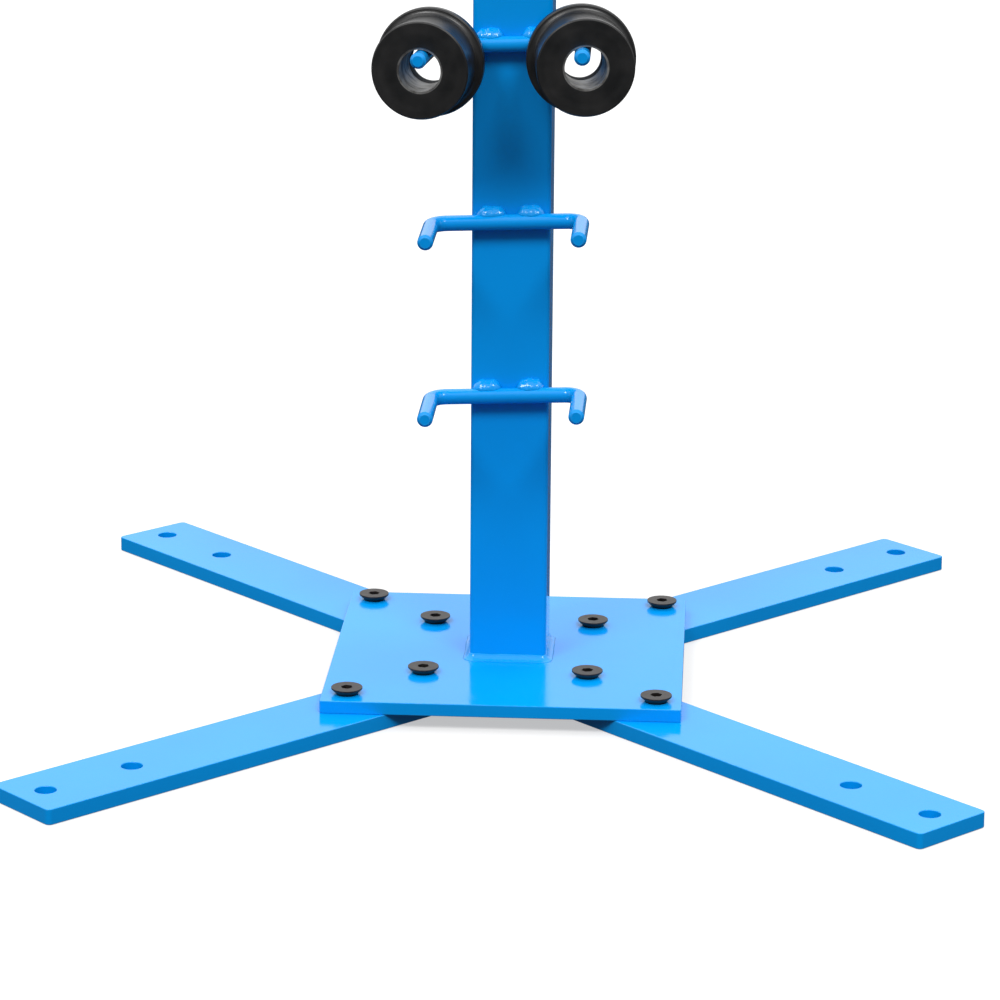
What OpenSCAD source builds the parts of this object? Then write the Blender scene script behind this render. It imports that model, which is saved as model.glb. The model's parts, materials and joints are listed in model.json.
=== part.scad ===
// Pedestal stand with welded storage hooks.
// A square tube post stands on a square base plate. Four flat legs are screwed
// under the plate's corners, a mounting plate closes the top of the post, and
// three bent rod hooks on the front hold grooved rollers.
// Origin: on the floor under the middle of the post. Front is -Y, up is +Z.

/* [Post] */
// Outside width of the square post tube
post_w = 60; // [50:1:80]
// Wall thickness of the post tube
post_wall = 3; // [2:0.5:6]
// Outside corner radius of the post tube
post_r = 3.5; // [1:0.5:8]
// Height of the whole stand, from the floor to the top face
stand_h = 800; // [600:10:1100]

/* [Base plate] */
// Side of the square base plate
plate_w = 275; // [260:5:320]
// Thickness of the base plate
plate_t = 10; // [6:1:16]
// Plain clearance hole in the base plate for each screw
plate_hole_d = 16; // [14:0.5:17]

/* [Legs] */
// Length of one flat leg
leg_len = 404; // [380:2:440]
// Width of one flat leg
leg_w = 70; // [60:1:80]
// Thickness of one flat leg
leg_t = 12; // [8:1:16]
// Rounding of a leg's four corners
leg_r = 4; // [1:0.5:10]
// Distance from the post's axis to the inner end of a leg
leg_inner = 67; // [60:1:72]
// Distance from a leg's end to its nearest hole
leg_hole_end = 23; // [18:1:30]
// Spacing of the two holes at each end of a leg
leg_hole_gap = 77; // [60:1:90]
// Floor anchor holes in the outer half of a leg
anchor_hole_d = 16; // [12:1:18]

/* [Screws] */
// Nominal thread diameter of the countersunk screws
screw_d = 12; // [10:1:12]
// Diameter of the screw's flat head
head_d = 24; // [22:0.5:26]
// Width across the flats of the hexagon socket
socket_af = 8; // [6:1:10]
// Depth of the hexagon socket
socket_depth = 5; // [3:0.5:6]

/* [Hooks] */
// Diameter of the bent hook rod
rod_d = 12; // [10:1:14]
// Spacing of the two arms of a hook, centre to centre
arm_gap = 114; // [104:1:130]
// How far the hooks sit to the left of the post's centre
hook_left = 3; // [0:1:6]
// Reach of an arm from the middle of the cross bar to its tip
arm_reach = 68; // [60:1:90]
// Bend radius of the rod's centre line
bend_r = 12; // [10:1:16]
// Height of the lowest hook above the floor
hook_z = 238; // [200:2:260]
// Height between one hook and the next
hook_pitch = 136; // [110:1:140]
// How far the hooks slope up towards the right, in degrees
hook_tilt = 2.2; // [0:0.2:3]
// Outward splay of the left arm of the top hook, in degrees
splay_left = 6; // [0:1:10]
// Outward splay of the right arm of the top hook, in degrees
splay_right = 1; // [0:1:10]

/* [Rollers] */
// Diameter of a roller's front rim
roller_front_d = 73; // [72:1:76]
// Diameter of a roller's rear flange
roller_flange_d = 82; // [78:1:86]
// Diameter of the hub behind the rear flange
roller_hub_d = 60; // [50:1:66]
// Diameter at the bottom of the running groove
roller_groove_d = 71; // [66:1:72]
// Length of a roller along its axis
roller_len = 50; // [48:1:56]
// Distance from the front face to the back of the rear flange
flange_back = 44; // [40:1:46]
// Bore of the bush that slides over a hook arm
bush_bore_d = 31.5; // [30:0.5:34]
// Wall thickness of the bush
bush_wall = 1.5; // [1:0.5:3]
// Length of the bush
bush_len = 37; // [30:1:42]
// How far a roller's axis turns outwards from straight ahead, in degrees
roller_turn = 7.5; // [4:0.5:9]

/* [Top plate] */
// Side of the square top mounting plate
top_w = 160; // [140:5:200]
// Thickness of the top mounting plate
top_t = 10; // [6:1:14]
// Spacing of the four holes in the top plate
top_hole_gap = 120; // [90:5:140]
// Diameter of the holes in the top plate
top_hole_d = 11; // [9:0.5:14]

/* [Hidden] */
$fn = 64;

// heights of the stacked plates
plate_z = leg_t;
post_z = plate_z + plate_t;
top_z = stand_h - top_t;
// directions of the four legs
ang_fl = 225;
ang_fr = 315;
ang_bl = 135;
ang_br = 45;
// screw distances from the post's axis
screw_in = leg_inner + leg_hole_end;
screw_out = screw_in + leg_hole_gap;
// the countersunk cone rests on the edge of the plain plate hole
head_rim = 1.2;
head_proud = (head_d - plate_hole_d) / 2 + head_rim + 0.05;
screw_tip_gap = 1;
// hooks lie against the post's front face
bar_y = -post_w / 2 - rod_d / 2;
hook_x = -hook_left;
hook_zs = [hook_z, hook_z + hook_pitch, hook_z + 2 * hook_pitch];
tip_chamfer = 2;
// a rod swells a hair where it is bent
bend_swell = 0.04;
bend_lap = 0.3;
// weld sizes
foot_weld_s = 6;
bead_r = 6.5;
bead_rise = 1.5;
bead_len = 8;
bead_x = post_w / 2 - bead_r - 7;
// running clearances
hang_gap = 0.5;
bush_clear = 0.05;
rear_gap = 1.2;
bush_recess = 0.6;
rim_chamfer = 1;
// a roller's axis hangs below its arm by the difference of the radii
roller_drop = bush_bore_d / 2 - rod_d / 2 - hang_gap;
// distances from the middle of the cross bar, along an arm
roller_front = rod_d / 2 + rear_gap + roller_len;
roller_mid = roller_front - roller_len / 2;

// flat outline with four round corners
module round_rect(l, w, r) {
    square([l - 2 * r, w], center = true);
    square([l, w - 2 * r], center = true);
    for (x = [-1, 1], y = [-1, 1])
        translate([x * (l / 2 - r), y * (w / 2 - r)]) circle(r = r);
}

// square ring of fillet weld, height s, around the post
module weld_ring(s) {
    d = sqrt(2);
    difference() {
        rotate([0, 0, 45])
            cylinder(h = s, d1 = (post_w + 2 * s) * d, d2 = (post_w + 1) * d, $fn = 4);
        translate([0, 0, -1])
            linear_extrude(s + 2) round_rect(post_w, post_w, post_r);
    }
}

module post_tube() {
    color("dodgerblue")
        translate([0, 0, post_z])
            linear_extrude(top_z - post_z)
                difference() {
                    round_rect(post_w, post_w, post_r);
                    round_rect(post_w - 2 * post_wall, post_w - 2 * post_wall, 1);
                }
}

module base_plate() {
    color("deepskyblue")
        translate([0, 0, plate_z])
            difference() {
                linear_extrude(plate_t) round_rect(plate_w, plate_w, 2);
                for (a = [ang_fl, ang_fr, ang_bl, ang_br], r = [screw_in, screw_out])
                    rotate([0, 0, a]) translate([r, 0, -1])
                        cylinder(h = plate_t + 2, d = plate_hole_d);
            }
}

module top_plate() {
    color("deepskyblue")
        translate([0, 0, top_z])
            difference() {
                linear_extrude(top_t) round_rect(top_w, top_w, 8);
                for (x = [-1, 1], y = [-1, 1])
                    translate([x * top_hole_gap / 2, y * top_hole_gap / 2, -1])
                        cylinder(h = top_t + 2, d = top_hole_d);
            }
}

module foot_weld() {
    color("dodgerblue") translate([0, 0, post_z]) weld_ring(foot_weld_s);
}

module top_weld() {
    color("dodgerblue") translate([0, 0, top_z]) mirror([0, 0, 1]) weld_ring(foot_weld_s);
}

// flat leg along a direction: two screw holes inside, two anchor holes outside
module leg(angle) {
    color("deepskyblue")
        rotate([0, 0, angle])
            difference() {
                translate([leg_inner + leg_len / 2, 0, 0])
                    linear_extrude(leg_t) round_rect(leg_len, leg_w, leg_r);
                for (r = [screw_in, screw_out])
                    translate([r, 0, -1]) cylinder(h = leg_t + 2, d = screw_d);
                for (i = [0, 1])
                    translate([leg_inner + leg_len - leg_hole_end - i * leg_hole_gap, 0, -1])
                        cylinder(h = leg_t + 2, d = anchor_hole_d);
            }
}

// countersunk socket screw standing on the edge of its plate hole
module screw(angle, radius) {
    top = post_z + head_proud;
    cone_h = (head_d - screw_d) / 2;
    color([0.1, 0.1, 0.1])
        rotate([0, 0, angle]) translate([radius, 0, 0])
            difference() {
                union() {
                    translate([0, 0, top - head_rim]) cylinder(h = head_rim, d = head_d);
                    translate([0, 0, top - head_rim - cone_h])
                        cylinder(h = cone_h, d1 = screw_d - 0.1, d2 = head_d);
                    translate([0, 0, screw_tip_gap])
                        cylinder(h = top - head_rim - cone_h - screw_tip_gap, d = screw_d - 0.1);
                }
                translate([0, 0, top - socket_depth])
                    cylinder(h = socket_depth + 1, d = socket_af / cos(30), $fn = 6);
            }
}

// one straight arm with its bend, from the end of the cross bar;
// side is 1 for the right arm and -1 for the left arm
module hook_arm(side, splay) {
    turn = 90 - splay;
    run = arm_reach - bend_r;
    translate([hook_x + side * (arm_gap / 2 - bend_r), bar_y - bend_r, 0])
        mirror([side < 0 ? 1 : 0, 0, 0]) {
            rotate([0, 0, splay]) rotate_extrude(angle = turn)
                translate([bend_r, 0]) circle(d = rod_d + bend_swell);
            rotate([0, 0, splay]) translate([bend_r, bend_lap, 0]) rotate([90, 0, 0]) {
                cylinder(h = run - tip_chamfer + bend_lap, d = rod_d);
                translate([0, 0, run - tip_chamfer + bend_lap])
                    cylinder(h = tip_chamfer, d1 = rod_d, d2 = rod_d - 2 * tip_chamfer);
            }
        }
}

// bent rod hook: a cross bar against the post and two arms towards the front
module hook(z, left, right) {
    color("deepskyblue")
        translate([0, 0, z]) rotate([0, -hook_tilt, 0]) {
            translate([hook_x - arm_gap / 2 + bend_r - bend_lap, bar_y, 0]) rotate([0, 90, 0])
                cylinder(h = arm_gap - 2 * (bend_r - bend_lap), d = rod_d);
            hook_arm(-1, left);
            hook_arm(1, right);
        }
}

// two weld beads in the corner between the post and the top of a cross bar
module hook_weld(z) {
    color("dodgerblue")
        translate([0, 0, z]) rotate([0, -hook_tilt, 0])
            difference() {
                for (side = [-1, 1])
                    translate([side * bead_x, -post_w / 2, rod_d / 2 + bead_rise]) round_bead();
                translate([-post_w, -post_w / 2, -post_w / 2]) cube([2 * post_w, post_w, post_w]);
                translate([-post_w, bar_y, 0]) rotate([0, 90, 0])
                    cylinder(h = 2 * post_w, d = rod_d);
                translate([-post_w, -2 * post_w, -post_w]) cube([2 * post_w, 2 * post_w, post_w]);
            }
}

// one bead with round ends, lying along X
module round_bead() {
    rotate([0, 90, 0]) cylinder(h = bead_len, r = bead_r, center = true);
    for (side = [-1, 1]) translate([side * bead_len / 2, 0, 0]) sphere(r = bead_r);
}

// point on the axis of an arm of the top hook, at a distance along it
function arm_point(side, splay, along) = let (
    run = along - bend_r,
    x = hook_x + side * (arm_gap / 2 - bend_r + bend_r * cos(splay) + run * sin(splay)),
    y = bar_y - bend_r + bend_r * sin(splay) - run * cos(splay)
) [x * cos(hook_tilt), y, hook_zs[2] + x * sin(hook_tilt)];

// places a roller part under an arm of the top hook, with +Z along its axis
// outwards and its zero where the cross bar is
module on_arm(side) {
    p = arm_point(side, side < 0 ? splay_left : splay_right, roller_mid);
    translate([p.x, p.y, p.z - roller_drop])
        rotate([0, 0, side * roller_turn]) rotate([90, 0, 0])
            translate([0, 0, -roller_mid]) children();
}

// grooved roller with a front rim, a shallow running groove, a rear flange and a hub
module roller_body() {
    front = roller_front;
    back = front - roller_len;
    flange = front - flange_back;
    bore_r = bush_bore_d / 2 + bush_wall + bush_clear;
    fr = roller_front_d / 2;
    gr = roller_groove_d / 2;
    rr = roller_flange_d / 2;
    hr = roller_hub_d / 2;
    steps = 8;
    // half a cosine wave from the front rim down to the groove
    dip = [for (i = [0:steps]) [
        (fr + gr) / 2 + (fr - gr) / 2 * cos(180 * i / steps), front - 6 - 6 * i / steps]];
    // a quarter circle from the groove up to the rear flange
    cove = rr - gr - 1;
    rise = [for (i = [0:steps]) [
        gr + cove * (1 - cos(90 * i / steps)), flange + 7 + cove * (1 - sin(90 * i / steps))]];
    difference() {
        rotate_extrude($fn = 96)
            polygon(concat(
                [[5, front], [fr - rim_chamfer, front], [fr, front - rim_chamfer]],
                dip, rise,
                [[rr, flange + 6], [rr, flange + 1], [rr - 1, flange], [hr, flange],
                 [hr, back + 1], [hr - 1, back], [5, back]]));
        translate([0, 0, back - 1]) cylinder(h = roller_len + 2, d = bush_bore_d);
        translate([0, 0, front - bush_len - bush_recess - 0.2])
            cylinder(h = bush_len + 5, r = bore_r);
    }
}

module roller(side) {
    color([0.12, 0.12, 0.13]) on_arm(side) roller_body();
}

// thin sleeve that lines a roller's bore
module bush(side) {
    color("silver") on_arm(side)
        translate([0, 0, roller_front - bush_recess - bush_len]) difference() {
            cylinder(h = bush_len, r = bush_bore_d / 2 + bush_wall);
            translate([0, 0, -1]) cylinder(h = bush_len + 2, d = bush_bore_d);
        }
}

post_tube();
base_plate();
top_plate();
foot_weld();
top_weld();
leg(ang_fl);  // leg_front_left
leg(ang_fr);  // leg_front_right
leg(ang_bl);  // leg_back_left
leg(ang_br);  // leg_back_right
screw(ang_fl, screw_in);  // screw_front_left_inner
screw(ang_fl, screw_out);  // screw_front_left_outer
screw(ang_fr, screw_in);  // screw_front_right_inner
screw(ang_fr, screw_out);  // screw_front_right_outer
screw(ang_bl, screw_in);  // screw_back_left_inner
screw(ang_bl, screw_out);  // screw_back_left_outer
screw(ang_br, screw_in);  // screw_back_right_inner
screw(ang_br, screw_out);  // screw_back_right_outer
hook(hook_zs[0], 0, 0);  // hook_lower
hook(hook_zs[1], 0, 0);  // hook_middle
hook(hook_zs[2], splay_left, splay_right);  // hook_top
hook_weld(hook_zs[0]);  // weld_hook_lower
hook_weld(hook_zs[1]);  // weld_hook_middle
hook_weld(hook_zs[2]);  // weld_hook_top
roller(-1);  // roller_left
roller(1);  // roller_right
bush(-1);  // bush_left
bush(1);  // bush_right
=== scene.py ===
import json
import math
import random

import bpy
from mathutils import Matrix, Vector, noise


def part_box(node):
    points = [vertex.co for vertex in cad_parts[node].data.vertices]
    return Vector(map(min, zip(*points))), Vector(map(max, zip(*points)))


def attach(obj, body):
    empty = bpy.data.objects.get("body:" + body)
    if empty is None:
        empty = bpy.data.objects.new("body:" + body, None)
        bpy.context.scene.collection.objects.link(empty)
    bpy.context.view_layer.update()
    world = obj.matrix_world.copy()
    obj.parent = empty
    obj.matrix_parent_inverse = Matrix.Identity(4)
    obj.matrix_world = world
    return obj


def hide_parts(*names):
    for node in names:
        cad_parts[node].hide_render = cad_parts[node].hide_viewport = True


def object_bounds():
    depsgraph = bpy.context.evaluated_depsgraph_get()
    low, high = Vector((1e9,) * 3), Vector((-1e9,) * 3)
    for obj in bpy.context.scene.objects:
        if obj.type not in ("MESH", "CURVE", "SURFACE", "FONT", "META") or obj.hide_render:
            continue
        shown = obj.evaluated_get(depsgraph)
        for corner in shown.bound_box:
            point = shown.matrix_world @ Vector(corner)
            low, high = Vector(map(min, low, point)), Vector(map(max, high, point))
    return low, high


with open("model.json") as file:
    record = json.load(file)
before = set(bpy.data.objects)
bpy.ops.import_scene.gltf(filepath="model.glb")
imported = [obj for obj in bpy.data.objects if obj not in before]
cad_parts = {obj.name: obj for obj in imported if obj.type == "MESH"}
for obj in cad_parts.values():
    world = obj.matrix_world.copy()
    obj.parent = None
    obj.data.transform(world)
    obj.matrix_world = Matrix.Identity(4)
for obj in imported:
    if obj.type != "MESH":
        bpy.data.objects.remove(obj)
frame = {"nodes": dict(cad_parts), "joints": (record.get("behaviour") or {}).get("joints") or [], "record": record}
cad_low, cad_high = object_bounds()
nodes = frame["nodes"]
joints = {j["name"]: j for j in frame["joints"]}
scene = bpy.context.scene
MM = 0.001
ROD = next(m["dims"]["r_mm"] for m in frame["record"]["mounts"] if m["kind"] == "pin") * MM

# rounding of the edges, as the paint and the screws' finish leave them
STEEL_EDGE = 0.7 * MM
SCREW_EDGE = 0.25 * MM

# the post's corner radius, and the spacing of the ripples along a fillet weld
POST_CORNER = 3.5 * MM
WELD_RIPPLE = 5.2 * MM
# how far the back of a hook bead reaches into the post's face
BEAD_BITE = 0.2 * MM

# brightness of the sky in front, behind, overhead and below
SKY_FRONT, SKY_BACK, SKY_TOP, SKY_FLOOR = 0.13, 1.00, 0.85, 0.07
# two soft key lights, which differ only in how far they come from the left or the right
KEY_STRENGTH, KEY_SOFTNESS, KEY_SPREAD = 1.36, 0.32, 0.36
KEY_AIM = (0.03, 0.62, -0.78)
# the floor lies a hair below the legs, and gives off some of its own light
FLOOR_GAP = 0.0002
FLOOR_GLOW = 0.5

# the camera: lens and sensor in millimetres, place in metres, turns in radians
LENS, SENSOR = 142.6, 36
CAMERA_AT = (0.157, -2.9694, 1.0181)
YAW, PITCH, ROLL = -0.0557, 0.2859, 0.0074


# ---------------------------------------------------------------- node helpers
class Maker:
    """A small helper that builds one node material around a Principled shader."""

    def __init__(self, name):
        self.mat = bpy.data.materials.new(name)
        self.mat.use_nodes = True
        self.tree = self.mat.node_tree
        self.shader = self.tree.nodes["Principled BSDF"]
        self.coords = self.add("ShaderNodeTexCoord").outputs["Object"]

    def add(self, kind, inputs=None, **settings):
        node = self.tree.nodes.new(kind)
        for key, value in settings.items():
            setattr(node, key, value)
        for key, value in (inputs or {}).items():
            self.put(node.inputs[key], value)
        return node

    def put(self, socket, value):
        if isinstance(value, bpy.types.NodeSocket):
            self.tree.links.new(value, socket)
        else:
            socket.default_value = value

    def set(self, **inputs):
        for key, value in inputs.items():
            self.put(self.shader.inputs[key.replace("_", " ")], value)

    def noise(self, scale, detail=2.0, vector=None, rough=0.5):
        return self.add("ShaderNodeTexNoise", {
            "Vector": vector or self.coords, "Scale": scale, "Detail": detail, "Roughness": rough,
        }).outputs["Fac"]

    def remap(self, value, low, high, to_low, to_high):
        return self.add("ShaderNodeMapRange", {
            "Value": value, "From Min": low, "From Max": high, "To Min": to_low, "To Max": to_high,
        }).outputs["Result"]

    def math(self, operation, a, b=0.0):
        return self.add("ShaderNodeMath", {0: a, 1: b}, operation=operation).outputs["Value"]

    def vector_math(self, operation, a, b):
        node = self.add("ShaderNodeVectorMath", {0: a, 1: b}, operation=operation)
        return node.outputs["Value" if operation in ("DOT_PRODUCT", "LENGTH") else "Vector"]

    def mix(self, factor, a, b):
        return self.add("ShaderNodeMix", {0: factor, 6: a, 7: b}, data_type="RGBA").outputs[2]

    def bump(self, height, strength, distance, normal=None):
        inputs = {"Height": height, "Strength": strength, "Distance": distance}
        if normal:
            inputs["Normal"] = normal
        return self.add("ShaderNodeBump", inputs).outputs["Normal"]


# ------------------------------------------------------------------- materials
def blue_paint(name, cut_edges=False, lumps=0.0):
    """Glossy blue powder coat with a fine orange peel, thinner and lighter along its edges: worn thin paint and a
    painted edge highlight.

    cut_edges adds faint saw lines to upright faces, for flat bar and plate. lumps is how
    rough a weld is under the paint, and a weld has neither worn edges nor the painted edge highlight.
    """
    m = Maker(name)
    patches = m.remap(m.noise(7.0, 3.0), 0.3, 0.7, 0.0, 1.0)
    colour = m.mix(patches, (0.0, 0.272, 0.750, 1), (0.0, 0.305, 0.810, 1))
    specks = m.remap(m.noise(900.0, 1.0), 0.62, 0.80, 0.0, 0.30)
    colour = m.mix(specks, colour, (0.004, 0.360, 0.880, 1))
    if not lumps:
        geometry = m.add("ShaderNodeNewGeometry")
        rounded = m.add("ShaderNodeBevel", {"Radius": 0.0014}, samples=6).outputs["Normal"]
        along = m.vector_math("DOT_PRODUCT", rounded, geometry.outputs["Normal"])
        edge = m.remap(along, 0.995, 0.85, 0.0, 1.0)
        # lighter paint along the edges: partly worn thin paint, partly a painted edge highlight
        wear_and_edge_highlight = m.math("MULTIPLY", edge, m.remap(m.noise(130.0, 4.0), 0.40, 0.62, 0.12, 0.75))
        colour = m.mix(wear_and_edge_highlight, colour, (0.075, 0.420, 0.830, 1))
        chip = m.remap(m.noise(430.0, 2.0), 0.70, 0.74, 0.0, 0.85)
        colour = m.mix(m.math("MULTIPLY", edge, chip), colour, (0.030, 0.036, 0.042, 1))
    normal = m.bump(m.noise(260.0, 2.0), 0.10, 0.00035)
    if cut_edges:
        facing = m.add("ShaderNodeNewGeometry").outputs["Normal"]
        up = m.math("ABSOLUTE", m.add("ShaderNodeSeparateXYZ", {0: facing}).outputs["Z"])
        side = m.remap(up, 0.3, 0.7, 1.0, 0.0)
        squeeze = m.vector_math("MULTIPLY", m.coords, (1.0, 1.0, 0.06))
        lines = m.math("MULTIPLY", m.noise(700.0, 2.0, squeeze), side)
        normal = m.bump(lines, 0.25, 0.0004, normal)
    if lumps:
        normal = m.bump(m.noise(420.0, 3.0), lumps, 0.0005, normal)
    m.set(Base_Color=colour, Normal=normal, IOR=1.45,
          Roughness=m.remap(m.noise(35.0, 3.0), 0.3, 0.7, 0.10, 0.17))
    return m.mat


def turned(m, joint):
    """A vector for a noise that runs in rings about a joint's axis, and the radius alone."""
    axis = Vector(joint["axis"]).normalized()
    offset = m.vector_math("SUBTRACT", m.coords, tuple(joint["pos_m"]))
    height = m.vector_math("DOT_PRODUCT", offset, tuple(axis))
    scaled = m.add("ShaderNodeVectorMath", {0: tuple(axis), 3: height}, operation="SCALE")
    along = scaled.outputs["Vector"]
    across = m.vector_math("SUBTRACT", offset, along)
    radius = m.vector_math("LENGTH", across, (0, 0, 0))
    rings = m.add("ShaderNodeCombineXYZ", {0: radius, 1: height}).outputs["Vector"]
    return rings, radius


def roller_black(name, joint, bore):
    """Black turned steel: a near-black skin over fine tool rings, and matt inside the bore."""
    m = Maker(name)
    rings, radius = turned(m, joint)
    tool = m.noise(1500.0, 2.0, rings)
    broad = m.noise(190.0, 2.0, rings)
    blotch = m.noise(60.0, 4.0)
    tint = m.remap(blotch, 0.35, 0.7, 0.0, 1.0)
    colour = m.mix(tint, (0.0090, 0.0095, 0.0100, 1), (0.018, 0.0175, 0.0175, 1))
    rough = m.math("ADD", m.remap(broad, 0.3, 0.7, 0.26, 0.36), m.remap(blotch, 0.3, 0.7, 0.0, 0.08))
    inside = m.remap(radius, bore, bore + 0.5 * MM, 0.5, 0.0)
    rough = m.math("ADD", rough, inside)
    normal = m.bump(tool, 0.25, 0.00012)
    normal = m.bump(m.noise(420.0, 3.0), 0.08, 0.0003, normal)
    m.set(Base_Color=colour, Roughness=rough, Normal=normal, IOR=1.5)
    return m.mat


def bare_steel(name, joint):
    """Bare turned steel with tool rings, a little dull oxide and dark smears of oil."""
    m = Maker(name)
    rings = turned(m, joint)[0]
    tool = m.noise(1800.0, 3.0, rings)
    smear = m.noise(95.0, 4.0, m.vector_math("MULTIPLY", m.coords, (1.0, 2.0, 1.0)))
    colour = m.mix(m.remap(smear, 0.4, 0.65, 0.0, 1.0), (0.42, 0.42, 0.41, 1), (0.15, 0.145, 0.14, 1))
    m.set(Base_Color=colour, Metallic=0.85, Normal=m.bump(tool, 0.5, 0.0002),
          Roughness=m.remap(tool, 0.3, 0.7, 0.42, 0.60))
    return m.mat


def black_oxide(name):
    """Black oxide on a hardened screw, with a slight brown cast and rubbed patches."""
    m = Maker(name)
    blotch = m.noise(240.0, 4.0)
    colour = m.mix(m.remap(blotch, 0.35, 0.7, 0.0, 1.0), (0.010, 0.008, 0.008, 1), (0.030, 0.023, 0.021, 1))
    m.set(Base_Color=colour, Metallic=0.3, Roughness=m.remap(blotch, 0.3, 0.7, 0.34, 0.48),
          Normal=m.bump(m.noise(1400.0, 2.0), 0.15, 0.0001))
    return m.mat


def floor_white(name):
    """Matt white with a faint change of tone and a glow that keeps shadows pale."""
    m = Maker(name)
    tone = m.mix(m.noise(3.0, 2.0), (0.40, 0.40, 0.40, 1), (0.42, 0.42, 0.42, 1))
    m.set(Base_Color=tone, Roughness=0.9, IOR=1.2)
    m.set(Emission_Color=(1, 1, 1, 1), Emission_Strength=FLOOR_GLOW)
    return m.mat


PAINT = blue_paint("blue_paint")
PAINT_CUT = blue_paint("blue_paint_cut", cut_edges=True)
PAINT_BEAD = blue_paint("blue_paint_bead", lumps=0.30)
PAINT_FILLET = blue_paint("blue_paint_fillet", lumps=0.05)
SCREW = black_oxide("black_oxide")


def dress(name, material):
    """Gives a CAD node its material."""
    mesh = nodes[name].data
    mesh.materials.clear()
    mesh.materials.append(material)


def soften(name, width):
    """A small rounded edge on a CAD node, as paint leaves it."""
    piece = nodes[name]
    weld = piece.modifiers.new("join", "WELD")
    weld.merge_threshold = 0.01 * MM
    flat = piece.modifiers.new("flat", "DECIMATE")
    flat.decimate_type = "DISSOLVE"
    flat.angle_limit = math.radians(0.5)
    bevel = piece.modifiers.new("edge", "BEVEL")
    bevel.width = width
    bevel.segments = 3
    bevel.limit_method = "ANGLE"
    bevel.angle_limit = math.radians(40)
    bevel.use_clamp_overlap = False
    piece.modifiers.new("shade", "WEIGHTED_NORMAL")


def new_mesh(name, points, faces, hidden, material, body):
    """A closed mesh piece that rides on a body, smooth outside and flat where it meets the steel."""
    mesh = bpy.data.meshes.new(name)
    mesh.from_pydata(points, [], faces + hidden)
    mesh.materials.append(material)
    mesh.update()
    mesh.polygons.foreach_set("use_smooth", [True] * len(faces) + [False] * len(hidden))
    piece = bpy.data.objects.new(name, mesh)
    scene.collection.objects.link(piece)
    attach(piece, body)
    return piece


# ------------------------------------------------------------------ CAD pieces
for name in nodes:
    if name.startswith(("leg_", "base_plate", "top_plate")):
        dress(name, PAINT_CUT)
        soften(name, STEEL_EDGE)
    elif name.startswith("screw_"):
        dress(name, SCREW)
        soften(name, SCREW_EDGE)
    elif name.startswith("roller_"):
        side = name.split("_")[1]
        bush_low, bush_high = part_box("bush_" + side)
        bore = (bush_high.z - bush_low.z) / 2
        dress(name, roller_black("roller_black_" + side, joints[side + "_roller_spin"], bore))
    elif name.startswith("bush_"):
        side = name.split("_")[1]
        dress(name, bare_steel("bare_steel_" + side, joints[side + "_roller_spin"]))
    else:
        dress(name, PAINT)


# ----------------------------------------------------------------------- welds
def ring_path(half, radius, steps_side, steps_corner):
    """Points and outward directions round a square with rounded corners."""
    path = []
    for k in range(4):
        turn = Matrix.Rotation(k * math.pi / 2, 2)
        for i in range(steps_side):
            t = i / steps_side
            path.append((turn @ Vector((half, (half - radius) * (2 * t - 1))), turn @ Vector((1, 0))))
        for i in range(steps_corner):
            a = i / steps_corner * math.pi / 2
            out = Vector((math.cos(a), math.sin(a)))
            path.append((turn @ (Vector((half - radius, half - radius)) + out * radius), turn @ out))
    return path


def fillet_ring(name, node, up):
    """A painted fillet weld round the post.

    up is 1 when it stands on a plate and -1 when it hangs under one.
    """
    low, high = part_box(node)
    post_low, post_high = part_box("post_tube")
    half = (post_high.x - post_low.x) / 2
    reach = (high.x - low.x) / 2 - half
    foot = low.z if up > 0 else high.z
    path = ring_path(half, POST_CORNER, 84, 10)
    rows = 9
    points, faces, hidden = [], [], []
    for i, (at, out) in enumerate(path):
        length = i / len(path) * 8 * half
        wander = noise.noise(Vector((at.x * 90, at.y * 90, foot * 10)))
        ripple = math.sin(length / WELD_RIPPLE * math.pi) ** 2
        wide = reach * (0.86 + 0.10 * wander + 0.012 * ripple)
        tall = reach * (0.84 + 0.10 * wander + 0.008 * ripple)
        for j in range(rows):
            turn = j / (rows - 1) * math.pi / 2
            bulge = (0.08 + 0.01 * ripple) * math.sin(2 * turn)
            x = wide * (1 - math.sin(turn)) + bulge * reach
            z = tall * (1 - math.cos(turn)) + bulge * reach
            p = at + out * x
            points.append((p.x, p.y, foot + up * z))
        points.append((at.x, at.y, foot))
    stride = rows + 1
    for i in range(len(path)):
        here, ahead = i * stride, (i + 1) % len(path) * stride
        for j in range(stride):
            k = (j + 1) % stride
            quad = (here + j, ahead + j, ahead + k, here + k)
            (faces if j < rows - 1 else hidden).append(quad if up > 0 else quad[::-1])
    piece = new_mesh(name, points, faces, hidden, PAINT_FILLET, "stand")
    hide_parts(node)
    return piece


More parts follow.
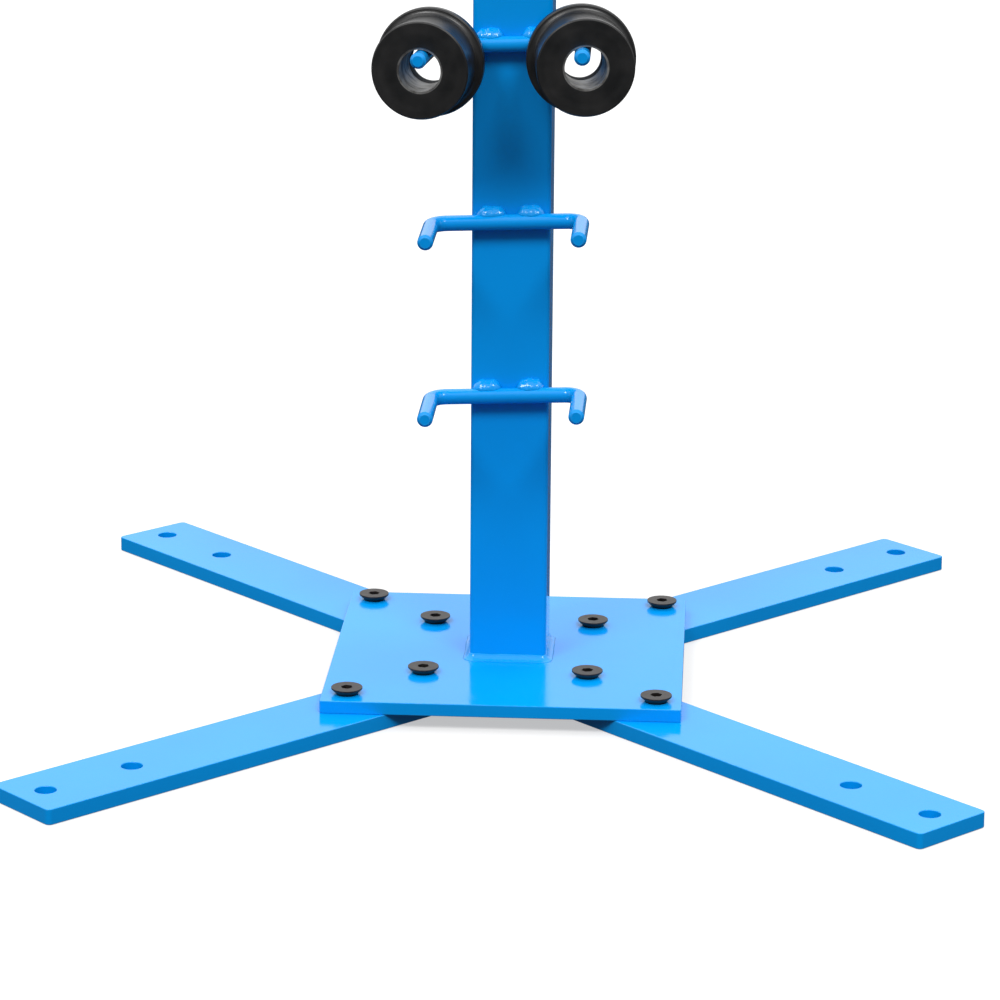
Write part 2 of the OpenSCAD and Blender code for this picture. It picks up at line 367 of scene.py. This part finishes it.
def hook_beads(name, node, hook, seed):
    """Two lumpy weld beads between the post's face and the top of a hook's sloping cross bar."""
    low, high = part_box(node)
    hook_low, hook_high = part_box(hook)
    face = high.y
    climb, span = hook_high.z - hook_low.z - 2 * ROD, hook_high.x - hook_low.x - 2 * ROD
    slope = math.asin(climb / span)
    middle = (hook_low + hook_high) / 2
    axis_y = face - ROD
    rise = high.z - middle.z - (high.x - middle.x) * math.tan(slope) - ROD
    rng = random.Random(seed)
    cols, rows = 48, 16
    stride = rows + 2
    points, faces, hidden = [], [], []
    for side in (-1, 1):
        start = len(points)
        centre = side * (high.x - low.x) * 0.30 + rng.uniform(-1.5, 1.5) * MM
        half = (high.x - low.x) * rng.uniform(0.19, 0.22)
        lobes = rng.choice((2, 3))
        for i in range(cols + 1):
            t = i / cols
            x = centre + half * (2 * t - 1)
            axis_z = middle.z + (x - middle.x) * math.tan(slope)
            body = (1 - abs(2 * t - 1) ** 3.2) ** 0.5
            lump = noise.noise(Vector((x * 170, seed * 3.1, side)))
            lobe = math.sin(t * math.pi * lobes) ** 2
            top = rise * body * (0.82 + 0.10 * lump + 0.08 * lobe)
            lap = math.radians(4 + 38 * body * (0.85 + 0.25 * lump) - 55 * (1 - body))
            # a section is a curve from the post's face, a, to the rod, b, pulled outwards by c
            a = Vector((face + BEAD_BITE, axis_z + ROD * (0.30 + 0.62 * body) + top))
            skin = ROD * 0.985
            b = Vector((axis_y - skin * math.sin(lap), axis_z + skin * math.cos(lap)))
            c_z = axis_z + ROD * (0.45 + 0.55 * body) + top * 0.98
            c = Vector((axis_y + ROD * (0.80 - 1.08 * body), c_z))
            for j in range(rows + 1):
                u = j / rows
                p = a * (1 - u) ** 2 + c * 2 * u * (1 - u) + b * u * u
                bump = 0.22 * MM * noise.noise(Vector((x * 420, u * 4 + seed, side * 7.0))) * body
                points.append((x, p.x - bump, p.y + bump))
            points.append((x, face + BEAD_BITE, axis_z + ROD * 0.2))
        for i in range(cols):
            here = start + i * stride
            for j in range(stride):
                k = (j + 1) % stride
                quad = (here + j, here + k, here + stride + k, here + stride + j)
                (faces if j < rows else hidden).append(quad)
        hidden.append(tuple(range(start + stride - 1, start - 1, -1)))
        hidden.append(tuple(range(start + cols * stride, start + (cols + 1) * stride)))
    piece = new_mesh(name, points, faces, hidden, PAINT_BEAD, "stand")
    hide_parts(node)
    return piece


fillet_ring("foot_weld_bead", "foot_weld", 1)
fillet_ring("top_weld_bead", "top_weld", -1)
for seed, level in enumerate(("lower", "middle", "top")):
    hook_beads("hook_beads_" + level, "weld_hook_" + level, "hook_" + level, seed + 1)

# ------------------------------------------------------------ floor and lights
bpy.ops.mesh.primitive_plane_add(size=40, location=(0, 0, cad_low.z - FLOOR_GAP))
floor = bpy.context.active_object
floor.name = "floor"
floor.data.materials.append(floor_white("floor_white"))
floor.visible_diffuse = False
floor.visible_glossy = False

world = bpy.data.worlds.new("studio")
scene.world = world
world.use_nodes = True
sky = world.node_tree


def sky_node(kind, inputs, output, **settings):
    """Adds a node to the sky and gives back one of its outputs."""
    node = sky.nodes.new(kind)
    for key, value in settings.items():
        setattr(node, key, value)
    for key, value in inputs.items():
        if isinstance(value, bpy.types.NodeSocket):
            sky.links.new(value, node.inputs[key])
        else:
            node.inputs[key].default_value = value
    return node.outputs[output]


def sky_ramp(value, low, high, to_low, to_high):
    """A smooth step between two brightnesses."""
    return sky_node("ShaderNodeMapRange", {
        "Value": value, "From Min": low, "From Max": high, "To Min": to_low, "To Max": to_high,
    }, "Result", interpolation_type="SMOOTHSTEP")


def sky_math(operation, a, b):
    return sky_node("ShaderNodeMath", {0: a, 1: b}, "Value", operation=operation)


# dark below, dim in front, and a bright screen behind and overhead
way = sky_node("ShaderNodeTexCoord", {}, "Generated")
way_y = sky_node("ShaderNodeSeparateXYZ", {0: way}, "Y")
way_z = sky_node("ShaderNodeSeparateXYZ", {0: way}, "Z")
behind = sky_ramp(way_y, -0.5, 0.5, SKY_FRONT, SKY_BACK)
above = sky_math("ADD", behind, sky_ramp(way_z, 0.3, 0.9, 0.0, SKY_TOP))
glow = sky_math("MULTIPLY", above, sky_ramp(way_z, -0.03, 0.06, 0.0, 1.0))
glow = sky_math("ADD", glow, SKY_FLOOR)
sky.nodes["Background"].inputs["Color"].default_value = (1, 1, 1, 1)
sky.links.new(glow, sky.nodes["Background"].inputs["Strength"])

for side, shift in (("left", KEY_SPREAD), ("right", -KEY_SPREAD)):
    sun = bpy.data.lights.new("key_" + side, "SUN")
    sun.energy = KEY_STRENGTH
    sun.angle = KEY_SOFTNESS
    lamp = bpy.data.objects.new("key_" + side, sun)
    lamp.rotation_mode = "QUATERNION"
    aim = Vector(KEY_AIM) + Vector((shift, 0, 0))
    lamp.rotation_quaternion = aim.to_track_quat("-Z", "Y")
    scene.collection.objects.link(lamp)

# ---------------------------------------------------------------------- camera
camera = bpy.data.objects.new("camera", bpy.data.cameras.new("camera"))
scene.collection.objects.link(camera)
camera.data.lens = LENS
camera.data.sensor_width = SENSOR
camera.data.clip_end = 100
ahead = Vector((math.sin(YAW) * math.cos(PITCH), math.cos(YAW) * math.cos(PITCH), -math.sin(PITCH)))
level = Vector((math.cos(YAW), -math.sin(YAW), 0))
upright = level.cross(ahead)
right = level * math.cos(ROLL) + upright * math.sin(ROLL)
up = upright * math.cos(ROLL) - level * math.sin(ROLL)
facing = Matrix((right, up, -ahead)).transposed().to_4x4()
camera.matrix_world = Matrix.Translation(CAMERA_AT) @ facing
scene.camera = camera
scene.view_settings.view_transform = "Standard"
